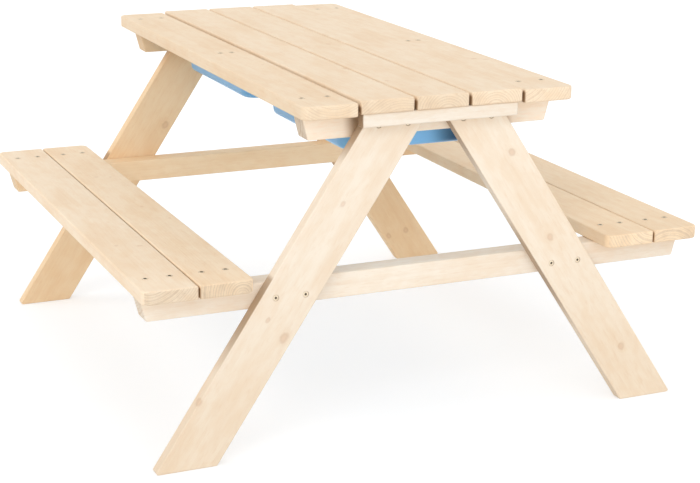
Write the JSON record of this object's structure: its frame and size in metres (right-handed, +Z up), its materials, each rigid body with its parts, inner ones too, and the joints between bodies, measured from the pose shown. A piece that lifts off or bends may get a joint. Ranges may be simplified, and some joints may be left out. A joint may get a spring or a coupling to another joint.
{
  "type": "children's picnic table",
  "caption": "Low wooden picnic table for children, with a bench on each long side and moulded play tubs hung under a lift-off board lid.",
  "frame": {"origin": "on the floor, under the middle of the tabletop", "axes": "+Z up, +Y along the boards away from the viewer, +X across the boards towards the right-hand seat"},
  "size_m": [0.904, 0.9, 0.5242],
  "materials": {
    "spruce": "planed, matt",
    "blue_plastic": "moulded, satin",
    "zinc_steel": "plated, dull"
  },
  "bodies": {
    "table_frame": {"table_board_left": "spruce", "table_board_right": "spruce", "table_crossbar_near": "spruce", "table_crossbar_far": "spruce", "tub_bearer": "spruce", "leg_near_left": "spruce", "leg_near_right": "spruce", "leg_far_left": "spruce", "leg_far_right": "spruce", "seat_bar_near": "spruce", "seat_bar_far": "spruce", "seat_board_left_inner": "spruce", "seat_board_left_outer": "spruce", "seat_board_right_inner": "spruce", "seat_board_right_outer": "spruce", "screw_near_left_head_inner": "zinc_steel", "screw_near_left_head_outer": "zinc_steel", "screw_near_left_seat_inner": "zinc_steel", "screw_near_left_seat_outer": "zinc_steel", "screw_near_right_head_inner": "zinc_steel", "screw_near_right_head_outer": "zinc_steel", "screw_near_right_seat_inner": "zinc_steel", "screw_near_right_seat_outer": "zinc_steel", "screw_far_left_head_inner": "zinc_steel", "screw_far_left_head_outer": "zinc_steel", "screw_far_left_seat_inner": "zinc_steel", "screw_far_left_seat_outer": "zinc_steel", "screw_far_right_head_inner": "zinc_steel", "screw_far_right_head_outer": "zinc_steel", "screw_far_right_seat_inner": "zinc_steel", "screw_far_right_seat_outer": "zinc_steel"},
    "lid": {"lid_board_left": "spruce", "lid_board_middle": "spruce", "lid_board_right": "spruce", "lid_batten_near": "spruce", "lid_batten_far": "spruce"},
    "near_tub": {"tub_near": "blue_plastic"},
    "far_tub": {"tub_far": "blue_plastic"}
  },
  "joints": [
    {"name": "lid_lift", "type": "slide", "parent": "table_frame", "child": "lid", "axis": [0, 0, 1], "range_m": [0, 0.2]},
    {"name": "near_tub_lift", "type": "slide", "parent": "table_frame", "child": "near_tub", "axis": [0, 0, 1], "range_m": [0, 0.1]},
    {"name": "far_tub_lift", "type": "slide", "parent": "table_frame", "child": "far_tub", "axis": [0, 0, 1], "range_m": [0, 0.1]}
  ],
  "couplings": [
    {"joint": "near_tub_lift", "follows": "lid_lift", "ratio": 0.5},
    {"joint": "far_tub_lift", "follows": "lid_lift", "ratio": 0.5}
  ]
}
